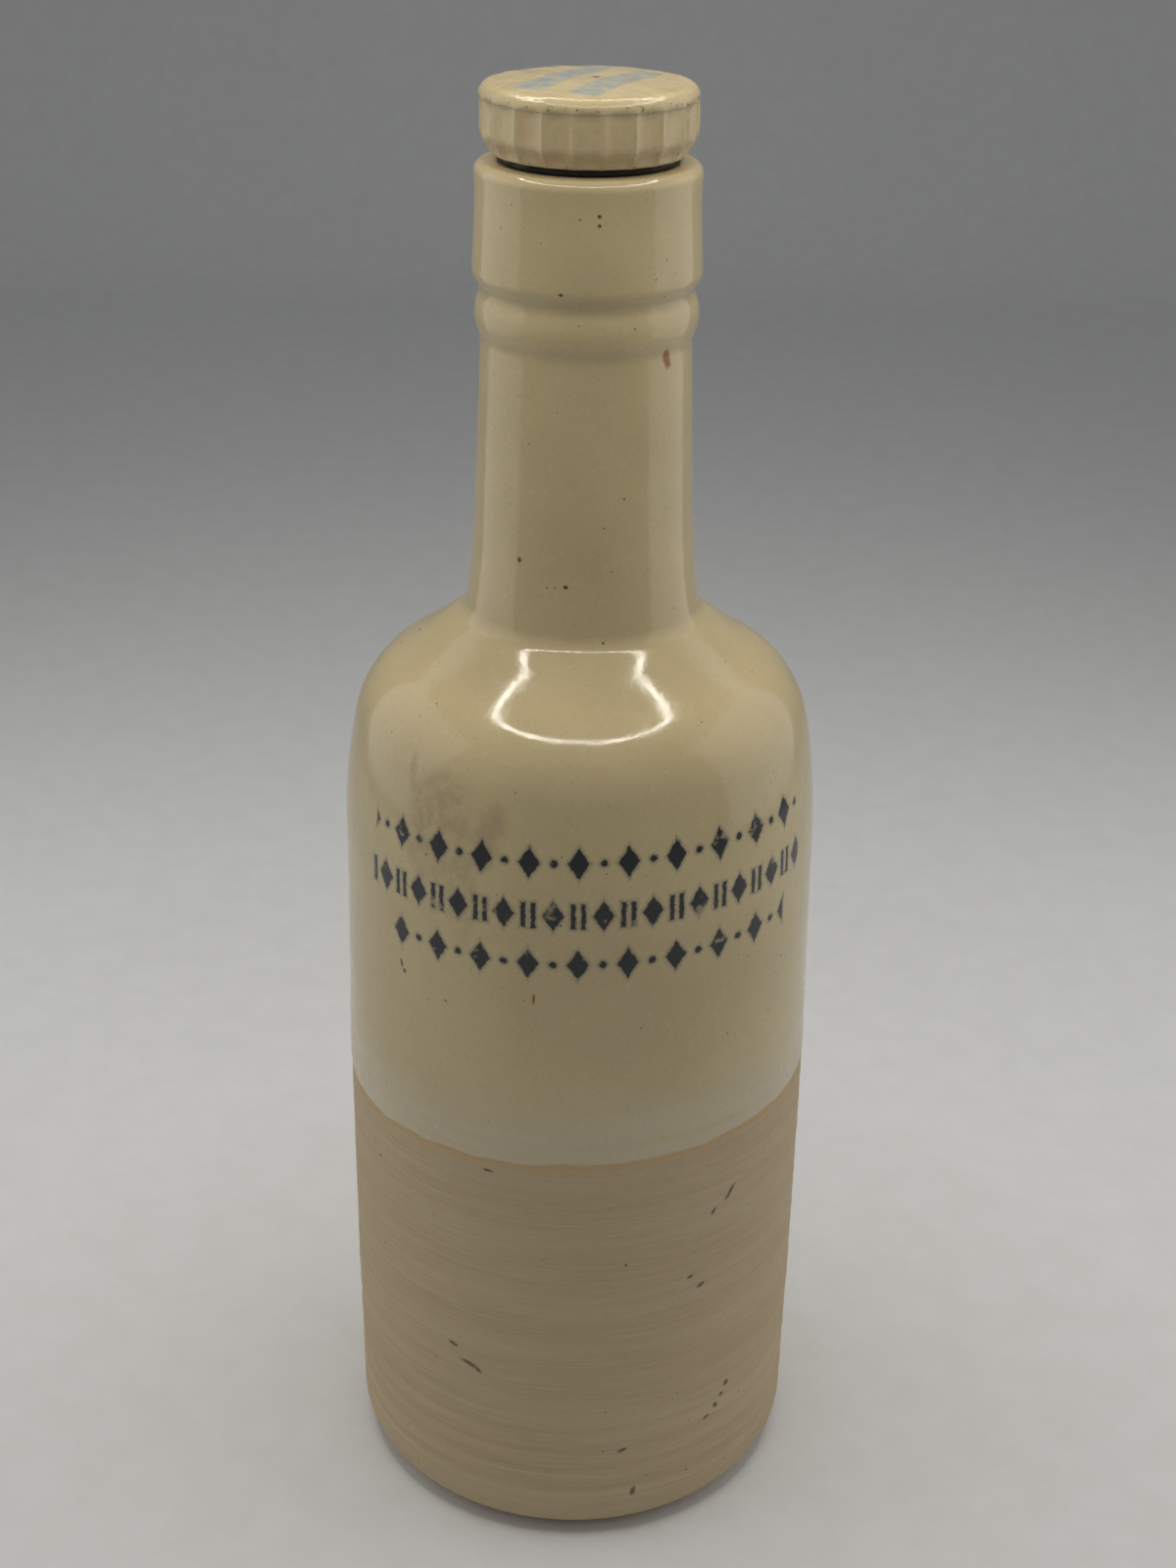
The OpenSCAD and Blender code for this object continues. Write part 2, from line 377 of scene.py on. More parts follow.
def model_bottle():
    """The bottle, turned from one outline and then marked by hand."""
    bottle = draw_outline("stoneware_bottle", bottle_outline())
    turn_outline(bottle, LATHE_STEPS)
    clouds = cloud_texture("hand_marks")

    def bare_clay(x, y, z):
        return on_outside(x, y, z) * smooth_step(z, 20, 34) * (1 - smooth_step(z - glaze_line(x), -4, 0))

    def rippled_glaze(x, y, z):
        return on_outside(x, y, z) * smooth_step(z - glaze_line(x), 0, 4) * (1 - smooth_step(z, 112, 132))

    def glazed(x, y, z):
        return on_outside(x, y, z) * smooth_step(z - glaze_line(x), -0.5, 0.7)

    push(bottle, 0.34, weigh(bottle, "bare_clay", bare_clay), clouds, (46, 46, 2.1), 0.5)
    push(bottle, 0.26, weigh(bottle, "rippled_glaze", rippled_glaze), clouds, (70, 70, 3.4), 0.5)
    push(bottle, 0.1, weigh(bottle, "glazed", glazed))
    push(bottle, 0.5, weigh(bottle, "outside", on_outside), clouds, (46, 46, 38), 0.5)
    smooth_shade(bottle)
    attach(bottle, "bottle")
    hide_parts("bottle")
    return bottle


def model_stopper():
    """The stopper: one flute's sector of it is turned and hollowed, and then copied all round."""
    stopper = draw_outline("screw_stopper", stopper_outline())
    sector = FULL_TURN / FLUTE_COUNT
    turn_outline(stopper, FLUTE_STEPS, sector)
    rim_z = SEAT_Z + HEAD_LOWER + HEAD_SIDE

    def in_flute(x, y, z):
        if math.hypot(x, y) < HEAD_FOOT_R - 1.2 or z > rim_z + 1.2:
            return 0
        across = 2 * ((math.atan2(y, x) / sector) % 1) - 1
        hollow = max(1 - abs(across) ** 2.4, 0)
        deepening = smooth_step(z, SEAT_Z - 0.3, SEAT_Z + 1.6)
        fading = 1 - smooth_step(z, rim_z - 1.1, rim_z + 1.0)
        return hollow * deepening * fading

    push(stopper, -FLUTE_DEPTH, weigh(stopper, "flute", in_flute))
    holder = bpy.data.objects.new("turn_holder", None)
    bpy.context.scene.collection.objects.link(holder)
    holder.rotation_euler = (0, 0, sector)
    array = stopper.modifiers.new("round", "ARRAY")
    array.count = FLUTE_COUNT
    array.use_relative_offset = False
    array.use_object_offset = True
    array.offset_object = holder
    bpy.context.view_layer.update()
    apply_modifier(stopper, array)
    bpy.data.objects.remove(holder)
    bpy.ops.object.mode_set(mode="EDIT")
    close_up()
    bpy.ops.object.mode_set(mode="OBJECT")

    def on_head(x, y, z):
        return smooth_step(z, SEAT_Z + 0.4, SEAT_Z + 2)

    push(stopper, 0.5, weigh(stopper, "head", on_head), cloud_texture("pressed_unevenly"), (7, 7, 9), 0.5)
    smooth_shade(stopper, 35)
    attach(stopper, "stopper")
    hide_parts("stopper")
    return stopper


def model_washer():
    """The rubber washer, with softly rounded edges."""
    bulge = 0.25
    low, high = BOTTLE_H, SEAT_Z
    outline = [(WASHER_HOLE_R, low), (WASHER_R - bulge, low), (WASHER_R, low + bulge),
               (WASHER_R, high - bulge), (WASHER_R - bulge, high), (WASHER_HOLE_R, high), (WASHER_HOLE_R, low)]
    washer = draw_outline("rubber_washer", outline)
    turn_outline(washer, 120)
    smooth_shade(washer, 50)
    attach(washer, "washer")
    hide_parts("sealing_washer")
    return washer


def model_thread(name, root_r, crest_r, low, turns, body):
    """A rounded right-hand screw ridge, wound up from a height, with closed ends."""
    outward = 1 if crest_r > root_r else -1
    half_foot, half_crest, sunk = 1.05, 0.45, 0.5
    outline = [(root_r - outward * sunk, low - half_foot), (root_r, low - half_foot),
               (crest_r - outward * 0.25, low - half_crest - 0.15), (crest_r, low),
               (crest_r - outward * 0.25, low + half_crest + 0.15), (root_r, low + half_foot),
               (root_r - outward * sunk, low + half_foot)]
    thread = draw_outline(name, outline + outline[:1])
    select_only(thread)
    bpy.ops.object.mode_set(mode="EDIT")
    bpy.ops.mesh.select_all(action="SELECT")
    bpy.ops.mesh.remove_doubles(threshold=0.004 * MM)
    bpy.ops.object.mode_set(mode="OBJECT")
    steps = 64
    screw = thread.modifiers.new("wind", "SCREW")
    screw.axis = "Z"
    screw.angle = FULL_TURN * turns
    screw.screw_offset = SCREW_PITCH * turns * MM
    screw.steps = screw.render_steps = int(steps * turns)
    screw.use_merge_vertices = False
    apply_modifier(thread, screw)
    bpy.ops.object.mode_set(mode="EDIT")
    bpy.ops.mesh.select_all(action="SELECT")
    bpy.ops.mesh.select_non_manifold()
    bpy.ops.mesh.edge_face_add()
    close_up()
    bpy.ops.object.mode_set(mode="OBJECT")
    smooth_shade(thread, 60)
    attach(thread, body)
    return thread


# Finishes: a small kit to write node materials as sums of named layers

class Finish:
    """A node material on Object coordinates, written as sockets that feed one another."""

    def __init__(self, name):
        self.material = bpy.data.materials.new(name)
        self.material.use_nodes = True
        self.tree = self.material.node_tree
        self.skin = self.tree.nodes["Principled BSDF"]
        self.place = self.node("ShaderNodeTexCoord").outputs["Object"]
        x, y, self.z = self.node("ShaderNodeSeparateXYZ", {0: self.place}).outputs
        self.x = x
        self.azimuth = self.sum("ARCTAN2", x, self.sum("MULTIPLY", y, -1))

    def node(self, kind, inputs=None, **settings):
        """A new node with its settings, and with values or sockets on its inputs."""
        made = self.tree.nodes.new(kind)
        for name, value in settings.items():
            setattr(made, name, value)
        for key, value in (inputs or {}).items():
            self.feed(made.inputs[key], value)
        return made

    def feed(self, socket, value):
        """Links a socket to an input, or sets the input's value."""
        if isinstance(value, bpy.types.NodeSocket):
            self.tree.links.new(value, socket)
        else:
            socket.default_value = value

    def sum(self, operation, *values):
        """One maths step."""
        made = self.node("ShaderNodeMath", dict(enumerate(values)), operation=operation)
        return made.outputs[0]

    def rise(self, value, low, high, start=0.0, stop=1.0):
        """Goes smoothly from start to stop while a value goes from low to high."""
        inputs = {"Value": value, "From Min": low, "From Max": high, "To Min": start, "To Max": stop}
        return self.node("ShaderNodeMapRange", inputs, interpolation_type="SMOOTHSTEP").outputs[0]

    def within(self, value, low, high, soft):
        """1 between two bounds, with soft edges."""
        return self.sum("MULTIPLY", self.rise(value, low - soft, low + soft),
                        self.rise(value, high - soft, high + soft, 1.0, 0.0))

    def stretched(self, size, shift=(0, 0, 0), place=None):
        """The place divided by a size in millimetres for each axis."""
        scale = [1 / (s * MM) for s in size]
        inputs = {"Vector": place or self.place, "Scale": scale, "Location": shift}
        return self.node("ShaderNodeMapping", inputs).outputs[0]

    def noise(self, size, detail=2.0, rough=0.5, shift=(0, 0, 0), distort=0.0):
        """Noise with features of about a size in millimetres."""
        size = size if isinstance(size, tuple) else (size,) * 3
        inputs = {"Vector": self.stretched(size, shift), "Scale": 1.0, "Detail": detail, "Roughness": rough,
                  "Distortion": distort}
        return self.node("ShaderNodeTexNoise", inputs).outputs[0]

    def specks(self, spacing, size, share, shift=(0, 0, 0)):
        """Round specks of up to a size in millimetres, in a share of cells that are one spacing wide."""
        inputs = {"Vector": self.stretched((spacing,) * 3, shift), "Scale": 1.0}
        cells = self.node("ShaderNodeTexVoronoi", inputs)
        chosen = self.node("ShaderNodeSeparateColor", {0: cells.outputs["Color"]}).outputs
        reach = size / spacing / 2
        limit = self.sum("MULTIPLY", chosen[1], reach)
        past_edge = self.sum("SUBTRACT", cells.outputs["Distance"], limit)
        dot = self.rise(past_edge, -0.2 * reach, 0.2 * reach, 1.0, 0.0)
        return self.sum("MULTIPLY", dot, self.sum("LESS_THAN", chosen[0], share))

    def mark(self, azimuth, height, half_wide, half_high, radius=47, turn=0.0, place=None, soft=0.3,
             half_deep=12):
        """1 inside an oval mark at an azimuth, a height and a radius, by its half sizes."""
        a = math.radians(azimuth)
        spot = (radius * MM * math.sin(a), -radius * MM * math.cos(a), height * MM)
        inputs = {"Vector": place or self.place, "Location": spot, "Rotation": (0, math.radians(turn), a),
                  "Scale": (half_wide * MM, half_deep * MM, half_high * MM)}
        local = self.node("ShaderNodeMapping", inputs, vector_type="TEXTURE").outputs[0]
        reach = self.node("ShaderNodeVectorMath", {0: local}, operation="LENGTH").outputs["Value"]
        return self.rise(reach, 1 - soft, 1 + soft, 1.0, 0.0)

    def most(self, masks):
        """The largest of several masks."""
        largest = masks[0]
        for mask in masks[1:]:
            largest = self.sum("MAXIMUM", largest, mask)
        return largest

    def blend(self, share, under, over):
        """A colour over another by a share."""
        made = self.node("ShaderNodeMix", {0: share, 6: rgba(under), 7: rgba(over)}, data_type="RGBA")
        return made.outputs[2]

    def bump(self, height, depth, normal=None):
        """A bump whose full height is a depth in millimetres."""
        inputs = {"Height": height, "Distance": depth * MM, "Strength": 1.0}
        if normal:
            inputs["Normal"] = normal
        return self.node("ShaderNodeBump", inputs).outputs[0]


def rgba(colour):
    """A colour given by three numbers gets its fourth; a socket passes through."""
    return colour if isinstance(colour, bpy.types.NodeSocket) else (*colour, 1.0)


# Colours of the body, as linear values
GLAZE = (0.60, 0.485, 0.27)
GLAZE_THICK = (0.53, 0.425, 0.235)
GLAZE_PALE = (0.66, 0.55, 0.34)
GLAZE_MILKY = (0.58, 0.50, 0.36)
CLAY = (0.54, 0.42, 0.26)
CLAY_DARK = (0.42, 0.32, 0.19)
CLAY_PALE = (0.62, 0.50, 0.33)
HALO = (0.56, 0.385, 0.20)
IRON = (0.055, 0.038, 0.02)
IRON_RED = (0.30, 0.10, 0.015)
STAIN = (0.37, 0.27, 0.16)
INK = (0.010, 0.014, 0.020)
INK_BLEED = (0.06, 0.09, 0.11)
FADED_BLUE = (0.33, 0.37, 0.36)


def glaze_colour(f):
    """Cream glaze, slightly mottled, with fine iron specks."""
    patches = f.noise((34, 34, 40), 3.0)
    fine = f.noise(1.1, 2.0)
    colour = f.blend(f.rise(patches, 0.35, 0.7), GLAZE, GLAZE_THICK)
    colour = f.blend(f.rise(fine, 0.55, 0.8, 0.0, 0.35), colour, GLAZE_PALE)
    colour = f.blend(f.rise(f.noise(0.8, 1.0, shift=(4, 1, 7)), 0.6, 0.75, 0.0, 0.30), colour, CLAY_DARK)
    specks = f.most([f.specks(1.7, 0.42, 0.22), f.specks(3.6, 0.75, 0.10, (3, 5, 1))])
    return f.blend(f.sum("MULTIPLY", specks, 0.72), colour, IRON)


def clay_colour(f):
    """Bare tan clay with streaks left by turning, and with grains."""
    streaks = f.noise((24, 24, 0.45), 3.0, 0.6)
    broad = f.noise((60, 60, 7), 2.0, shift=(1, 2, 3))
    colour = f.blend(f.rise(streaks, 0.35, 0.7, 0.0, 0.5), CLAY, CLAY_DARK)
    colour = f.blend(f.rise(broad, 0.4, 0.7, 0.0, 0.25), colour, CLAY_PALE)
    colour = f.blend(f.rise(f.noise(0.7, 2.0, shift=(2, 2, 9)), 0.58, 0.75, 0.0, 0.4), colour, CLAY_DARK)
    specks = f.most([f.specks(2.2, 0.5, 0.2, (8, 0, 2)), f.specks(5.0, 0.9, 0.12, (1, 7, 4))])
    return f.blend(f.sum("MULTIPLY", specks, 0.7), colour, IRON)


def bottle_finish():
    """Glaze over the upper half of the bottle, bare clay below, and what time left on both."""
    f = Finish("glazed_stoneware")
    rough_place = rough_edges(f, 1.4, 0.9)
    waver = f.sum("MULTIPLY", f.sum("SUBTRACT", f.noise((9, 9, 60), 3.0, 0.6), 0.5), 2.2 * MM)
    tilt = f.sum("MULTIPLY_ADD", f.x, GLAZE_LINE_TILT, GLAZE_LINE_Z * MM)
    above = f.sum("ADD", f.sum("SUBTRACT", f.z, tilt), waver)
    glazed = f.rise(above, -0.35 * MM, 0.35 * MM)

    glaze = glaze_colour(f)
    milky_streaks = f.noise((50, 50, 1.6), 3.0, 0.6, (5, 5, 5))
    near_line = f.rise(above, 3 * MM, 19 * MM, 1.0, 0.0)
    milky = f.sum("MULTIPLY", near_line, f.rise(milky_streaks, 0.3, 0.6, 0.35, 0.95))
    glaze = f.blend(milky, glaze, GLAZE_MILKY)
    clay = clay_colour(f)
    halo_reach = f.rise(f.noise((14, 14, 30), 2.0, shift=(7, 1, 1)), 0.3, 0.7, 1.2 * MM, 4.2 * MM)
    halo = f.sum("MULTIPLY", f.rise(f.sum("DIVIDE", above, halo_reach), -1.0, -0.1), 0.85)
    clay = f.blend(halo, clay, HALO)

    stain, stain_share = old_stain(f, rough_place)
    glaze = f.blend(stain_share, glaze, STAIN)
    rust = f.most([f.mark(47.6, 246.8, 1.0, 1.9, 20, -14, rough_place), f.mark(-10, 132.6, 0.28, 1.1, 47, 4)])
    glaze = f.blend(f.sum("MULTIPLY", rust, 0.92), glaze, IRON_RED)
    dots = f.most([f.mark(-34, 209.6, 0.42, 0.5, 21.3), f.mark(-8.6, 205.6, 0.45, 0.4, 21.6),
                   f.mark(5.6, 273.6, 0.38, 0.34, 20.7), f.mark(5.7, 272.0, 0.34, 0.32, 20.7),
                   f.mark(-12.5, 259.9, 0.42, 0.3, 21.0), f.mark(-46, 132.2, 0.35, 0.9, 47, -16),
                   f.mark(-45, 130.8, 0.45, 0.5, 47)])
    glaze = f.blend(f.sum("MULTIPLY", dots, 0.88), glaze, IRON)
    ink, bleed = printed_ornament(f)
    glaze = f.blend(bleed, glaze, INK_BLEED)
    glaze = f.blend(ink, glaze, INK)

    gouges = clay_gouges(f, rough_place)
    clay = f.blend(f.sum("MULTIPLY", gouges, 0.75), clay, IRON)
    f.feed(f.skin.inputs["Base Color"], f.blend(glazed, clay, glaze))

    gloss = f.sum("MULTIPLY_ADD", stain, 0.22, f.rise(f.noise((5, 5, 7), 2.0), 0.3, 0.7, 0.09, 0.17))
    gloss = f.sum("ADD", gloss, f.rise(above, 2 * MM, 22 * MM, 0.16, 0.0))
    matt = f.rise(f.noise(2.5, 2.0), 0.3, 0.7, 0.72, 0.9)
    f.feed(f.skin.inputs["Roughness"], f.node("ShaderNodeMix", {0: glazed, 2: matt, 3: gloss}).outputs[0])

    grain = f.noise(0.55, 3.0, 0.65)
    turning = f.noise((24, 24, 0.55), 4.0, 0.7, (1, 6, 2))
    clay_relief = f.sum("MULTIPLY_ADD", grain, 0.35, turning)
    clay_relief = f.sum("MULTIPLY_ADD", gouges, -2.2, clay_relief)
    peel = f.sum("MULTIPLY_ADD", f.noise(0.45, 2.0, shift=(0, 3, 1)), 0.28, f.noise(3.2, 2.0))
    ripple_reach = f.rise(above, 12 * MM, 36 * MM, 2.4, 0.0)
    ripple = f.sum("MULTIPLY", f.noise((60, 60, 2.1), 3.0, 0.6, (5, 5, 5)), ripple_reach)
    glaze_relief = f.sum("MULTIPLY", f.sum("ADD", peel, ripple), 0.22)
    relief = f.node("ShaderNodeMix", {0: glazed, 2: clay_relief, 3: glaze_relief}).outputs[0]
    f.feed(f.skin.inputs["Normal"], f.bump(relief, 0.16))
    f.skin.inputs["IOR"].default_value = 1.5
    return f.material


def rough_edges(f, size, reach):
    """The place, shifted about by noise, so that marks at it get uneven edges."""
    noise_inputs = {"Vector": f.stretched((size,) * 3), "Scale": 1.0, "Detail": 2.0}
    shake = f.node("ShaderNodeTexNoise", noise_inputs).outputs[1]
    centred = f.node("ShaderNodeVectorMath", {0: shake, 1: (0.5, 0.5, 0.5)}, operation="SUBTRACT").outputs[0]
    inputs = {0: centred, 1: (reach * MM,) * 3, 2: f.place}
    return f.node("ShaderNodeVectorMath", inputs, operation="MULTIPLY_ADD").outputs[0]


def old_stain(f, rough_place):
    """A brown stain under the shoulder, with runs below it: its mask, and how strongly it tints."""
    patches = [(-35, 166, 7.5, 9, 46.5, 4), (-22, 164.5, 3.6, 7, 46.5, 12), (-44, 172, 1.0, 4.5, 46.5, -8),
               (-28, 152, 3.4, 11, 47, 0), (-37, 158, 5.5, 6, 47, 0)]
    mask = f.most([f.mark(*patch, rough_place) for patch in patches])
    crumbs = f.rise(f.noise((2.6, 2.6, 3.4), 4.0, 0.7), 0.34, 0.62, 0.25, 0.95)
    height = f.rise(f.z, 142 * MM, 164 * MM, 0.25, 0.62)
    return mask, f.sum("MULTIPLY", f.sum("MULTIPLY", mask, crumbs), height)


def clay_gouges(f, rough_place):
    """Short tears where grit was dragged through the bare clay."""
    tears = [(41, 81.8, 0.35, 1.9, 40), (36, 78.9, 0.3, 0.8, 35), (-26.5, 42.8, 1.9, 0.5, 18),
             (-24, 41.8, 0.8, 0.35, 30), (33, 61.7, 0.9, 0.45, -30), (43.5, 31.8, 0.5, 0.6, 0),
             (42, 29.4, 0.5, 0.5, 0), (40, 27.3, 0.6, 0.5, 20), (37, 25.4, 0.7, 0.4, -25),
             (13, 23.2, 1.0, 0.35, -20), (16, 11.6, 0.5, 1.0, 15), (-21, 92, 0.9, 0.25, 10),
             (-31, 46.5, 1.0, 0.3, 8), (30, 64.5, 0.8, 0.25, -15)]
    marks = [f.mark(a, z, wide, high, 47, turn, rough_place, 0.5) for a, z, wide, high, turn in tears]
    return f.most(marks)


# Ornament: three printed rows of lozenges, bars and dots on the front of the wall
ROW_RISE = 0.022
ROW_PERIOD = 9.4
LOZENGE_W, LOZENGE_H = 2.2, 3.3
BAR_W, BAR_H, BAR_GAP = 0.55, 2.7, 1.9
DOT_R = 0.8
ROWS = [
    # height, half-turn shift of the period, left end, right end, whether bars stand between lozenges
    (161.2, 0.0, -46, 54, False),
    (150.6, 0.5, -47, 53, True),
    (140.4, 0.0, -40, 47, False),
]


def printed_ornament(f):
    """The print's solid ink, and the thin bleed round it."""
    along = f.sum("MULTIPLY", f.azimuth, WALL_R)
    height = f.sum("DIVIDE", f.z, MM)
    shake = f.sum("MULTIPLY", f.sum("SUBTRACT", f.noise(0.9, 3.0, 0.6, (3, 3, 3)), 0.5), 0.9)
    nearest = None
    for row_z, shift, left, right, bars in ROWS:
        up = f.sum("SUBTRACT", f.sum("MULTIPLY_ADD", along, -ROW_RISE, height), row_z)
        spot = f.sum("PINGPONG", f.sum("ADD", along, (100 + shift) * ROW_PERIOD), ROW_PERIOD / 2)
        side = f.sum("ABSOLUTE", up)
        reach_out = f.sum("ADD", f.sum("DIVIDE", spot, LOZENGE_W), f.sum("DIVIDE", side, LOZENGE_H))
        lozenge = f.sum("SUBTRACT", reach_out, 1.0)
        shapes = [f.sum("MULTIPLY", lozenge, LOZENGE_W * 0.8)]
        far = f.sum("SUBTRACT", ROW_PERIOD / 2, spot)
        if bars:
            beside = f.sum("ABSOLUTE", f.sum("SUBTRACT", far, BAR_GAP * 0.5))
            shapes.append(f.sum("MAXIMUM", f.sum("SUBTRACT", beside, BAR_W), f.sum("SUBTRACT", side, BAR_H)))
        else:
            reach = f.sum("SQRT", f.sum("ADD", f.sum("MULTIPLY", far, far), f.sum("MULTIPLY", up, up)))
            shapes.append(f.sum("SUBTRACT", reach, DOT_R))
        shape = f.sum("MINIMUM", *shapes)
        past_ends = f.sum("MAXIMUM", f.sum("SUBTRACT", left, along), f.sum("SUBTRACT", along, right))
        shape = f.sum("MAXIMUM", shape, past_ends)
        nearest = shape if nearest is None else f.sum("MINIMUM", nearest, shape)
    edge = f.sum("ADD", nearest, shake)
    wear = f.rise(f.noise((3.5, 3.5, 3.5), 3.0, 0.6, (9, 2, 4)), 0.30, 0.42, 0.25, 1.0)
    ink = f.sum("MULTIPLY", f.rise(edge, -0.28, 0.12, 0.97, 0.0), wear)
    bleed = f.rise(edge, 0.0, 0.75, 0.30, 0.0)
    return ink, bleed


def stopper_finish():
    """Glazed head with iron along its edges and a faded two-band print on its crown; bare shank."""
    f = Finish("glazed_stopper")
    seat, rim = SEAT_Z * MM, (SEAT_Z + HEAD_LOWER + HEAD_SIDE) * MM
    colour = glaze_colour(f)
    y = f.node("ShaderNodeSeparateXYZ", {0: f.place}).outputs[1]
    radius = f.sum("SQRT", f.sum("ADD", f.sum("MULTIPLY", f.x, f.x), f.sum("MULTIPLY", y, y)))
    below_rim = f.rise(f.z, rim - 1 * MM, rim + 0.5 * MM, 1.0, 0.0)
    on_side = f.sum("MULTIPLY", f.rise(f.z, seat, seat + 1.5 * MM), below_rim)
    sunk = f.rise(radius, (HEAD_R - 0.75) * MM, (HEAD_R - 0.3) * MM, 1.0, 0.0)
    tan_patches = f.rise(f.noise((3, 3, 5), 3.0), 0.42, 0.66, 0.0, 0.75)
    tan = f.sum("MULTIPLY", f.sum("MULTIPLY", on_side, sunk), tan_patches)
    colour = f.blend(tan, colour, HALO)
    edge = f.within(f.z, rim - 0.2 * MM, rim + 1.1 * MM, 0.6 * MM)
    foot = f.rise(f.z, seat + 0.2 * MM, seat + 1.3 * MM, 1.0, 0.0)
    worn_patches = f.rise(f.noise((1.3, 1.3, 0.8), 3.0, 0.65), 0.57, 0.66)
    worn = f.sum("MULTIPLY", f.sum("MAXIMUM", edge, foot), worn_patches)
    colour = f.blend(f.sum("MULTIPLY", worn, 0.75), colour, IRON)
    on_top = f.rise(f.z, rim + 1.5 * MM, rim + 2.2 * MM)
    colour = f.blend(f.sum("MULTIPLY", faded_bands(f), on_top), colour, FADED_BLUE)
    pit = f.mark(70, SEAT_Z + 13, 0.9, 3, 1.2, half_deep=0.7)
    colour = f.blend(f.sum("MULTIPLY", f.sum("MULTIPLY", pit, on_top), 0.9), colour, IRON)
    head = f.rise(f.z, seat + 0.1 * MM, seat + 0.5 * MM)
    f.feed(f.skin.inputs["Base Color"], f.blend(head, clay_colour(f), colour))
    shine = f.rise(f.noise((3, 3, 3), 3.0), 0.3, 0.7, 0.12, 0.3)
    f.feed(f.skin.inputs["Roughness"], f.node("ShaderNodeMix", {0: head, 2: 0.75, 3: shine}).outputs[0])
    relief = f.sum("MULTIPLY_ADD", f.noise(0.5, 2.0), 0.35, f.noise(2.4, 2.0))
    f.feed(f.skin.inputs["Normal"], f.bump(relief, 0.07))
    f.skin.inputs["IOR"].default_value = 1.5
    return f.material


def faded_bands(f):
    """Two worn parallel bands of faded print across the crown."""
    inputs = {"Vector": f.place, "Rotation": (0, 0, math.radians(-62))}
    turned = f.node("ShaderNodeMapping", inputs).outputs[0]
    across = f.node("ShaderNodeSeparateXYZ", {0: turned}).outputs[1]
    along = f.node("ShaderNodeSeparateXYZ", {0: turned}).outputs[0]
    first_band = f.within(across, -8.6 * MM, -3.0 * MM, 0.5 * MM)
    second_band = f.within(across, 1.6 * MM, 7.6 * MM, 0.5 * MM)
    bands = f.sum("MAXIMUM", first_band, second_band)
    ends = f.within(along, -14 * MM, 13 * MM, 1.0 * MM)
    print_wear = f.rise(f.noise((1.6, 1.6, 1.6), 4.0, 0.7, (2, 8, 0)), 0.36, 0.6, 0.35, 0.95)
    return f.sum("MULTIPLY", f.sum("MULTIPLY", bands, ends), print_wear)


def rubber_finish():
    """Old black rubber, dusty in places."""
    f = Finish("black_rubber")
    dust = f.rise(f.noise(1.5, 4.0, 0.7), 0.45, 0.8, 0.0, 0.5)
    f.feed(f.skin.inputs["Base Color"], f.blend(dust, (0.012, 0.012, 0.012), (0.06, 0.055, 0.05)))
    f.feed(f.skin.inputs["Roughness"], f.rise(f.noise(2.0), 0.3, 0.7, 0.5, 0.75))
    f.feed(f.skin.inputs["Normal"], f.bump(f.noise(0.5, 3.0), 0.05))
    return f.material


def paper_finish():
    """Plain pale paper of the floor and backdrop."""
    f = Finish("pale_paper")
    mottle = f.noise(12.0, 4.0, 0.6)
    paper = f.blend(f.rise(mottle, 0.3, 0.7), (0.80, 0.80, 0.79), (0.83, 0.83, 0.825))
    f.feed(f.skin.inputs["Base Color"], paper)
    f.skin.inputs["Roughness"].default_value = 0.9
    f.skin.inputs["Specular IOR Level"].default_value = 0.2
    f.feed(f.skin.inputs["Normal"], f.bump(f.noise(0.6, 3.0), 0.02))
    return f.material


# Studio: paper sweep, ring lamp overhead, soft sides, and the camera

SWEEP_HALF_W = 3000
SWEEP_FRONT, SWEEP_BACK, SWEEP_TOP = -3000, 1000, 1600
SWEEP_BEND = 200
LAMP_Z, LAMP_R, LAMP_W = 500, 163, 13
LAMP_POWER = 26
PANEL_POWER = 0.5
ROOM_LIGHT = 0.2
CAMERA_PLACE = (0, -428.5, 360.55)
CAMERA_DOWN, CAMERA_ROLL, CAMERA_YAW = 25.59, 0.87, -0.21
CAMERA_LENS, CAMERA_SENSOR = 54, 36


def build_sweep():
    """Floor and backdrop in one sheet of paper, bent up behind the bottle."""
    outline = [(SWEEP_FRONT, 0)]
    for i in range(13):
        turn = math.radians(90 * i / 12)
        outline.append((SWEEP_BACK + SWEEP_BEND * math.sin(turn), SWEEP_BEND * (1 - math.cos(turn))))
    outline.append((SWEEP_BACK + SWEEP_BEND, SWEEP_TOP))
    sweep = draw_outline("paper_sweep", outline)
    bpy.ops.object.mode_set(mode="EDIT")
    bpy.ops.mesh.select_all(action="SELECT")
    bpy.ops.transform.rotate(value=math.radians(-90), orient_axis="Z", center_override=(0, 0, 0))
    bpy.ops.transform.translate(value=(-SWEEP_HALF_W * MM, 0, 0))
    bpy.ops.mesh.extrude_region_move(TRANSFORM_OT_translate={"value": (2 * SWEEP_HALF_W * MM, 0, 0)})
    bpy.ops.object.mode_set(mode="OBJECT")
    smooth_shade(sweep, 60)
    sweep.data.materials.append(paper_finish())
    return sweep


def glow(name, colour, strength):
    """A material that only gives light."""
    material = bpy.data.materials.new(name)
    material.use_nodes = True
    tree = material.node_tree
    tree.nodes.clear()
    emission = tree.nodes.new("ShaderNodeEmission")
    emission.inputs["Color"].default_value = rgba(colour)
    emission.inputs["Strength"].default_value = strength
    output = tree.nodes.new("ShaderNodeOutputMaterial")
    tree.links.new(emission.outputs[0], output.inputs["Surface"])
    return material


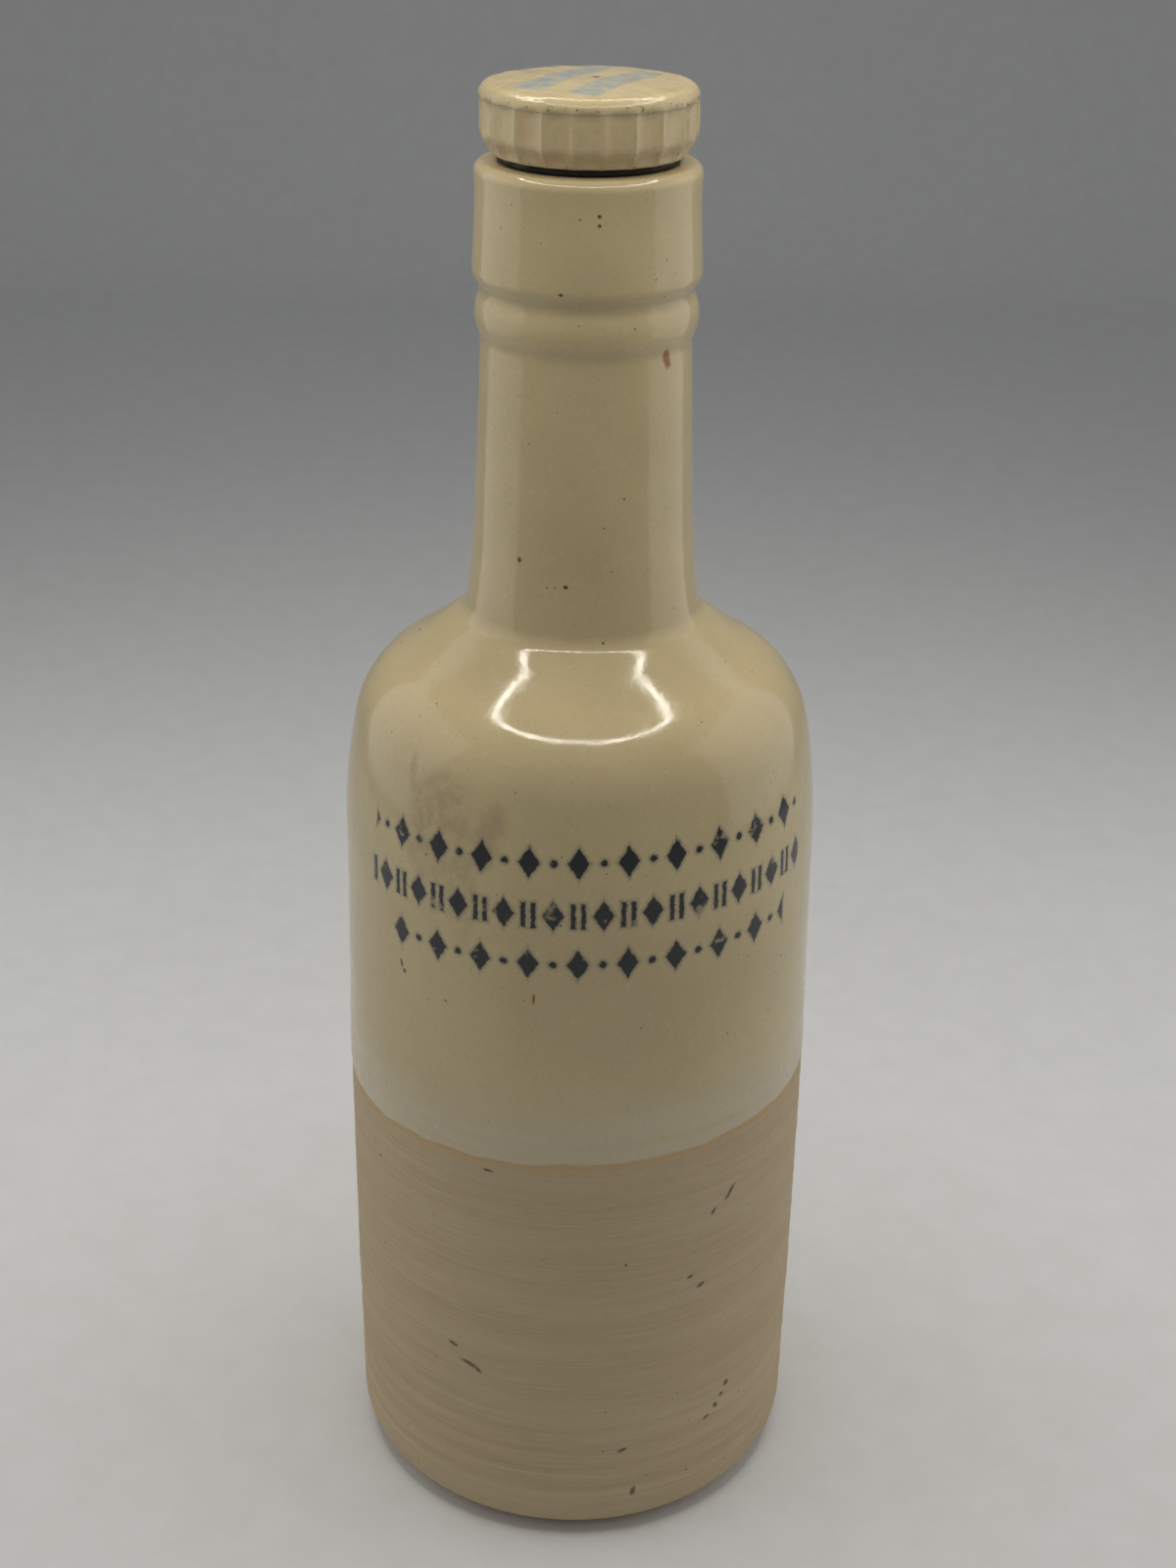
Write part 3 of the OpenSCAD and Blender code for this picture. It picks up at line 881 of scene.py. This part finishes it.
def hang_ring_lamp():
    """A ring of light straight above the bottle."""
    outline = [(LAMP_R - LAMP_W / 2, LAMP_Z), (LAMP_R + LAMP_W / 2, LAMP_Z)]
    ring = draw_outline("ring_lamp", outline)
    turn_outline(ring, 72)
    ring.data.materials.append(glow("lamp_white", (1.0, 0.97, 0.90), LAMP_POWER))
    return ring


def soft_panel(name, place, aim, size, power):
    """A large soft lamp that faces a point."""
    data = bpy.data.lights.new(name, "AREA")
    data.shape = "RECTANGLE"
    data.size, data.size_y = (s * MM for s in size)
    data.energy = power
    panel = bpy.data.objects.new(name, data)
    bpy.context.scene.collection.objects.link(panel)
    panel.location = Vector(place) * MM
    direction = (Vector(aim) - Vector(place)) * MM
    panel.rotation_euler = direction.to_track_quat("-Z", "Y").to_euler()
    panel.visible_camera = False
    return panel


def light_world(strength):
    """Even pale light from all round."""
    world = bpy.data.worlds.new("pale_room")
    bpy.context.scene.world = world
    world.use_nodes = True
    background = world.node_tree.nodes["Background"]
    background.inputs["Color"].default_value = (0.95, 0.97, 1.0, 1.0)
    background.inputs["Strength"].default_value = strength


def place_camera():
    """The camera of the photograph, found from the bottle's outline in it."""
    down, roll, yaw = (math.radians(a) for a in (CAMERA_DOWN, CAMERA_ROLL, CAMERA_YAW))
    forward = Vector((0, math.cos(down), -math.sin(down)))
    level = Vector((1, 0, 0))
    upright = level.cross(forward)
    right = math.cos(roll) * level + math.sin(roll) * upright
    up = math.cos(roll) * upright - math.sin(roll) * level
    turn = Matrix((right, up, -forward)).transposed()
    data = bpy.data.cameras.new("photo_camera")
    data.lens = CAMERA_LENS
    data.sensor_width = CAMERA_SENSOR
    data.clip_start, data.clip_end = 0.01, 10
    camera = bpy.data.objects.new("photo_camera", data)
    bpy.context.scene.collection.objects.link(camera)
    place = Matrix.Translation(Vector(CAMERA_PLACE) * MM)
    camera.matrix_world = place @ Matrix.Rotation(yaw, 4, "Z") @ turn.to_4x4()
    bpy.context.scene.camera = camera


place_camera()
bottle = model_bottle()
stopper = model_stopper()
washer = model_washer()
shank_thread = model_thread("shank_thread", SHANK_R, SHANK_RIDGE_R, SEAT_Z - SHANK_LEN + 2.6, 4.2,
                               "stopper")
mouth_thread = model_thread("mouth_thread", BORE_R, BORE_RIDGE_R, SEAT_Z - SHANK_LEN + 5.1, 3.9,
                               "bottle")
bottle.data.materials.append(bottle_finish())
mouth_thread.data.materials.append(bottle.data.materials[0])
stopper.data.materials.append(stopper_finish())
shank_thread.data.materials.append(stopper.data.materials[0])
washer.data.materials.append(rubber_finish())
build_sweep()
hang_ring_lamp()
soft_panel("left_panel", (-420, 60, 260), (0, 0, 130), (500, 500), PANEL_POWER)
soft_panel("right_panel", (420, 60, 260), (0, 0, 130), (500, 500), PANEL_POWER)
light_world(ROOM_LIGHT)
bpy.context.scene.view_settings.view_transform = "Standard"
